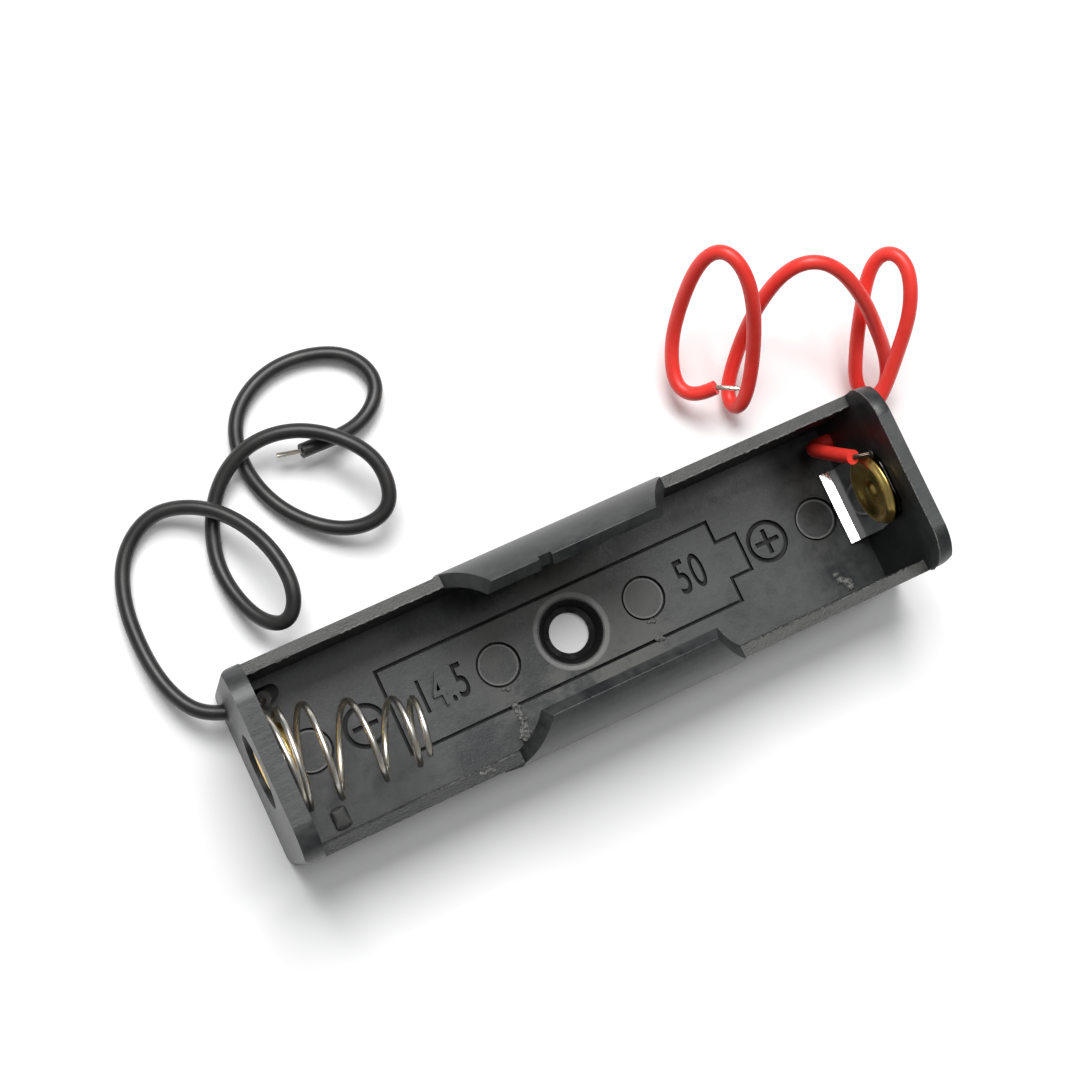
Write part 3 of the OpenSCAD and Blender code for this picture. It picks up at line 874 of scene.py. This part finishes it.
# %% Tray plastic: colour, gloss and grain
cloud = plastic.noise(4 * MM, 4)
grain = plastic.noise(0.16 * MM, 3)
streaks = plastic.noise(0.5 * MM, 3, 0.6, (0.07, 1, 1))
speck = plastic.noise(0.9 * MM, 5, 0.65)
blotch = (on_floor * (1 - from_axis.ramp(5.5 * MM, 11 * MM))
          * (cloud + 0.5 * speck).ramp(0.66, 0.86))
# Painted shade, near black: in the screw's seat, on the bottoms of the grooves and on the front-left rim.
painted_shade = (in_seat + in_groove + 0.4 * shaded_front_left * on_rim).least(1)
# Patches of the floor and the rims are paler; the front-left rim less so, as painted shade.
pale_and_shade = (0.85 * blotch + 0.42 * on_rim * (1 - 0.7 * shaded_front_left)).least(1)
mottle = (0.6 * cloud + 0.4 * speck).ramp(0.36, 0.64)
black = plastic.mix(mottle, colour(0.014, 0.016, 0.017), colour(0.048, 0.050, 0.050))
paled_black = plastic.mix(pale_and_shade * (0.4 + 1.2 * speck), black, colour(0.115, 0.115, 0.105))
# Pale rings inside the marks' grooves and round the screw's seat: painted highlights.
painted_highlight_edges = (0.45 * mark_edge + 0.75 * seat_edge) * (0.5 + grain)
edged = plastic.mix(painted_highlight_edges, paled_black, colour(0.28, 0.28, 0.27))
plastic.set("Base Color", plastic.mix(painted_shade, edged, colour(0.003, 0.003, 0.003)))
gloss = 0.20 + 0.16 * cloud + 0.20 * speck + 0.2 * pale_and_shade + 0.3 * painted_shade
plastic.set("Roughness", gloss.least(0.95))
plastic.bump(grain * (0.8 + 3.0 * on_rim) + 1.2 * speck + streaks * (1 - on_floor), 0.014 * MM)
plastic.cover(tray)
print("tray finish:", len(plastic.tree.nodes), "nodes")

# %% Torn plastic
torn = Finish("torn_plastic")
torn_grain = torn.noise(0.2 * MM, 3)
torn_pale = torn_grain.ramp(0.3, 0.7) * (0.2 + 0.8 * torn.axis("X").ramp(-20 * MM, -19 * MM))
torn.set("Base Color", torn.mix(torn_pale, colour(0.035, 0.036, 0.035), colour(0.19, 0.19, 0.18)))
torn.set("Roughness", 0.45 + 0.2 * torn_grain)
torn.cover(crumb_piece, flash_piece)
print("torn plastic:", len(torn.tree.nodes), "nodes")


# %% Metals
def metal(name, light, dark, shine, feature, shaded_above=None):
    """Metal in two tones: in clouds of that size, or painted dark, as shade, above the two given heights."""
    finish = Finish(name, Metallic=1.0)
    cloud = finish.noise(feature, 4)
    scratch = finish.noise(0.1 * MM, 2, 0.5, (1, 0.1, 1))
    # Above the two given heights the dark tone is painted shade.
    patches_and_shade = finish.axis("Z").ramp(*shaded_above) if shaded_above else cloud.ramp(0.35, 0.75)
    finish.set("Base Color", finish.mix(patches_and_shade, light, dark))
    finish.set("Roughness", shine + 0.12 * cloud.ramp(0.4, 0.8) + 0.05 * scratch)
    finish.bump(scratch + cloud, 0.003 * MM)
    return finish


metal("spring_wire", colour(0.98, 0.95, 0.89), colour(0.84, 0.75, 0.60), 0.29, 1.0 * MM).cover(spring)
brass = metal("rivet_brass", colour(1.0, 0.74, 0.24), colour(0.90, 0.58, 0.16), 0.26, 0.9 * MM)
brass.cover(positive_rivet, negative_rivet)
# The lug's top, where the joint is, is painted dark: painted shade.
nickel = metal("lug_nickel", colour(0.94, 0.94, 0.93), colour(0.045, 0.040, 0.036), 0.05, 2 * MM,
               (8.5 * MM, 9.5 * MM))
nickel.cover(lug)
# The drops of solder are painted nearly black all over, as painted shade in the bay.
shaded_solder = metal("solder", colour(0.12, 0.115, 0.105), colour(0.06, 0.055, 0.05), 0.50, 0.4 * MM)
shaded_solder.cover(positive_drop, negative_drop)
print("metals:", ", ".join(p.active_material.name for p in (spring, positive_rivet, lug, positive_drop)))

# %% [markdown]
# ## Stage and light
#
# A white table, a pale world and three soft lamps. The big lamp stands behind the holder,
# so the shadow falls to the front, and two smaller ones, above and to the right, give the
# metal its bright lines. The camera and mirrors see the table a little lighter than it
# is, and pure white far from the holder, so that no edge of it shows.

# %% Table
TABLE_HALF = 1.5
TABLE_GAP = 0.02 * MM
table_mesh = bmesh.new()
bmesh.ops.create_grid(table_mesh, x_segments=1, y_segments=1, size=TABLE_HALF)
bmesh.ops.translate(table_mesh, verts=table_mesh.verts, vec=(0, 0, -TABLE_GAP))
table = finished("table", table_mesh)
white = Finish("table_white", Roughness=0.9, Specular_IOR_Level=0.1)
white.set("Base Color", colour(0.97, 0.97, 0.97))
path = white.tree.nodes.new("ShaderNodeLightPath")
direct = Value(white, path.outputs["Is Camera Ray"])
seen = direct.most(Value(white, path.outputs["Is Glossy Ray"]))
seen = seen.most(Value(white, path.outputs["Is Transmission Ray"]))
far = ((white.axis("X") ** 2 + white.axis("Y") ** 2) ** 0.5).ramp(0.12, 0.40)
near_glow = white.mix(seen, colour(0, 0, 0), colour(0.06, 0.06, 0.06))
white.set("Emission Color", white.mix(direct * far, near_glow, colour(1, 1, 1)))
white.set("Emission Strength", 1.0)
white.cover(table)
print("table:", 2 * TABLE_HALF, "m wide")

# %% World and lamps
world = bpy.data.worlds.new("pale_room")
world.use_nodes = True
scene.world = world
sky = world.node_tree.nodes["Background"]
sky.inputs["Color"].default_value = colour(0.97, 0.985, 1.0)
sky.inputs["Strength"].default_value = 0.14
seen_sky = world.node_tree.nodes.new("ShaderNodeBackground")
seen_sky.inputs["Color"].default_value = colour(1, 1, 1)
sky_path = world.node_tree.nodes.new("ShaderNodeLightPath")
sky_mix = world.node_tree.nodes.new("ShaderNodeMixShader")
sources = (sky_path.outputs["Is Camera Ray"], sky.outputs[0], seen_sky.outputs[0])
for source, socket in zip(sources, sky_mix.inputs):
    world.node_tree.links.new(source, socket)
world.node_tree.links.new(sky_mix.outputs[0], world.node_tree.nodes["World Output"].inputs["Surface"])


def lamp(name, place, size, power):
    """A square soft lamp that points at the middle of the holder."""
    data = bpy.data.lights.new(name, "AREA")
    data.shape = "SQUARE"
    data.size = size
    data.energy = power
    light = bpy.data.objects.new(name, data)
    light.location = place
    light.rotation_mode = "QUATERNION"
    light.rotation_quaternion = (-place).to_track_quat("-Z", "Y")
    scene.collection.objects.link(light)


lamp("big_lamp", Vector((0.03, 0.285, 0.53)), 0.32, 3.65)
lamp("right_lamp", Vector((0.27, 0.03, 0.55)), 0.12, 0.40)
lamp("overhead_lamp", Vector((-0.03, 0.03, 0.60)), 0.12, 0.25)
scene.view_settings.view_transform = "Standard"

# %% [markdown]
# ## Put the pieces on the frame
#
# The holder has no joints, so every piece rides on its one body. The material slot that
# each takes its finish from is listed in a table.

# %% Ride, and a table of slots
SLOTS = {
    tray: "tray_plastic", crumb_piece: "tray_plastic", flash_piece: "tray_plastic",
    positive_rivet: "rivet_brass", negative_rivet: "rivet_brass", lug: "lug_nickel",
    positive_drop: "solder", negative_drop: "solder", spring: "spring_wire",
    red_lead: "red_insulation", black_lead: "black_insulation",
    red_strands: "tinned_strands", black_strands: "tinned_strands"}
for piece, slot in SLOTS.items():
    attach(piece, "root")
